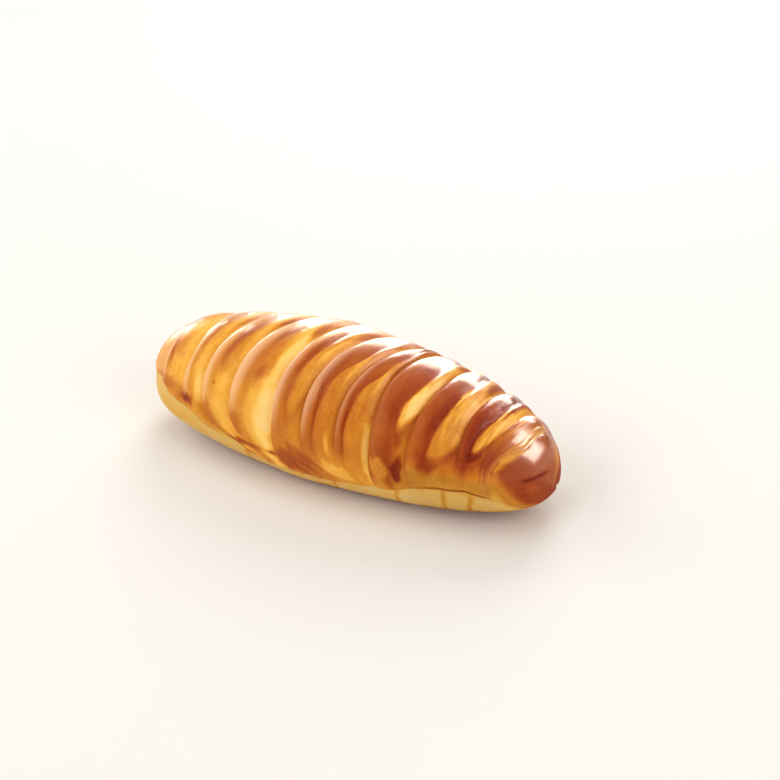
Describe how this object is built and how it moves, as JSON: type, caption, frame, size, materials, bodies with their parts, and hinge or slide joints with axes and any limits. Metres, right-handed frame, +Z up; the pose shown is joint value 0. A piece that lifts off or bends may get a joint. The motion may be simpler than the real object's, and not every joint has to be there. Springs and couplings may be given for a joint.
{
  "type": "milk bread loaf",
  "caption": "Plump spindle-shaped milk bread loaf with a glossy browned crust, wrapped in slanting rounded dough ribs over a pale flat base; stands free.",
  "frame": {"origin": "middle of the underside, on the surface that the loaf rests on", "axes": "+X along the loaf towards its rounder, darker end, +Y towards its back, +Z up"},
  "size_m": [0.3, 0.1098, 0.093],
  "materials": {
    "crust": "egg-washed baked crust, semi-gloss: red-brown rib lips, golden slopes, pale cream band at the base"
  },
  "bodies": {
    "root": {"loaf": "crust"}
  },
  "joints": []
}
